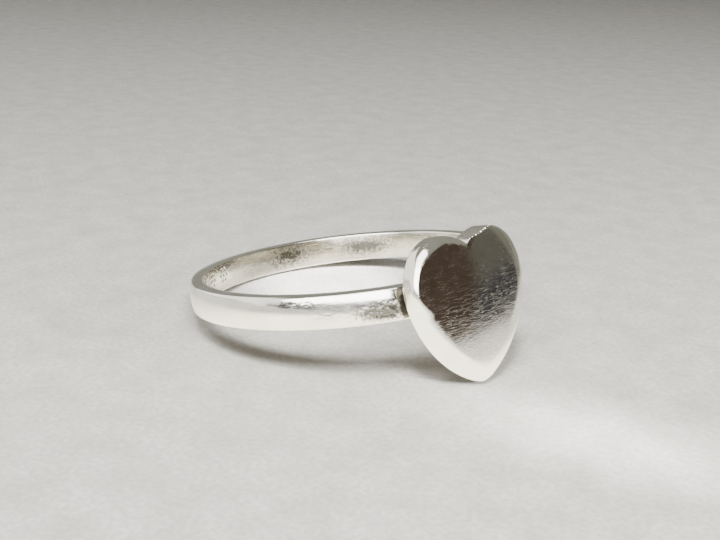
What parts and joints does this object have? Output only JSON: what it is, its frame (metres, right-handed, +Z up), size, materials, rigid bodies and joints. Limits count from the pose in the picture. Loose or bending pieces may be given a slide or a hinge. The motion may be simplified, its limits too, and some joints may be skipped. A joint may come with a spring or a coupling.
{
  "type": "heart ring",
  "caption": "Plain low-domed silver finger ring with a thick, slightly domed heart plate soldered to the outside of its band, lying as it rests.",
  "frame": {"origin": "on the table under the middle of the ring's box, as it rests on the heart's tip and the band's lower rim opposite", "axes": "+X from the band to the heart, +Z up from the table"},
  "size_m": [0.0212, 0.0192, 0.008],
  "materials": {
    "silver": "polished sterling silver with fine wear scratches"
  },
  "bodies": {
    "root": {"heart_ring": "silver"}
  },
  "joints": []
}
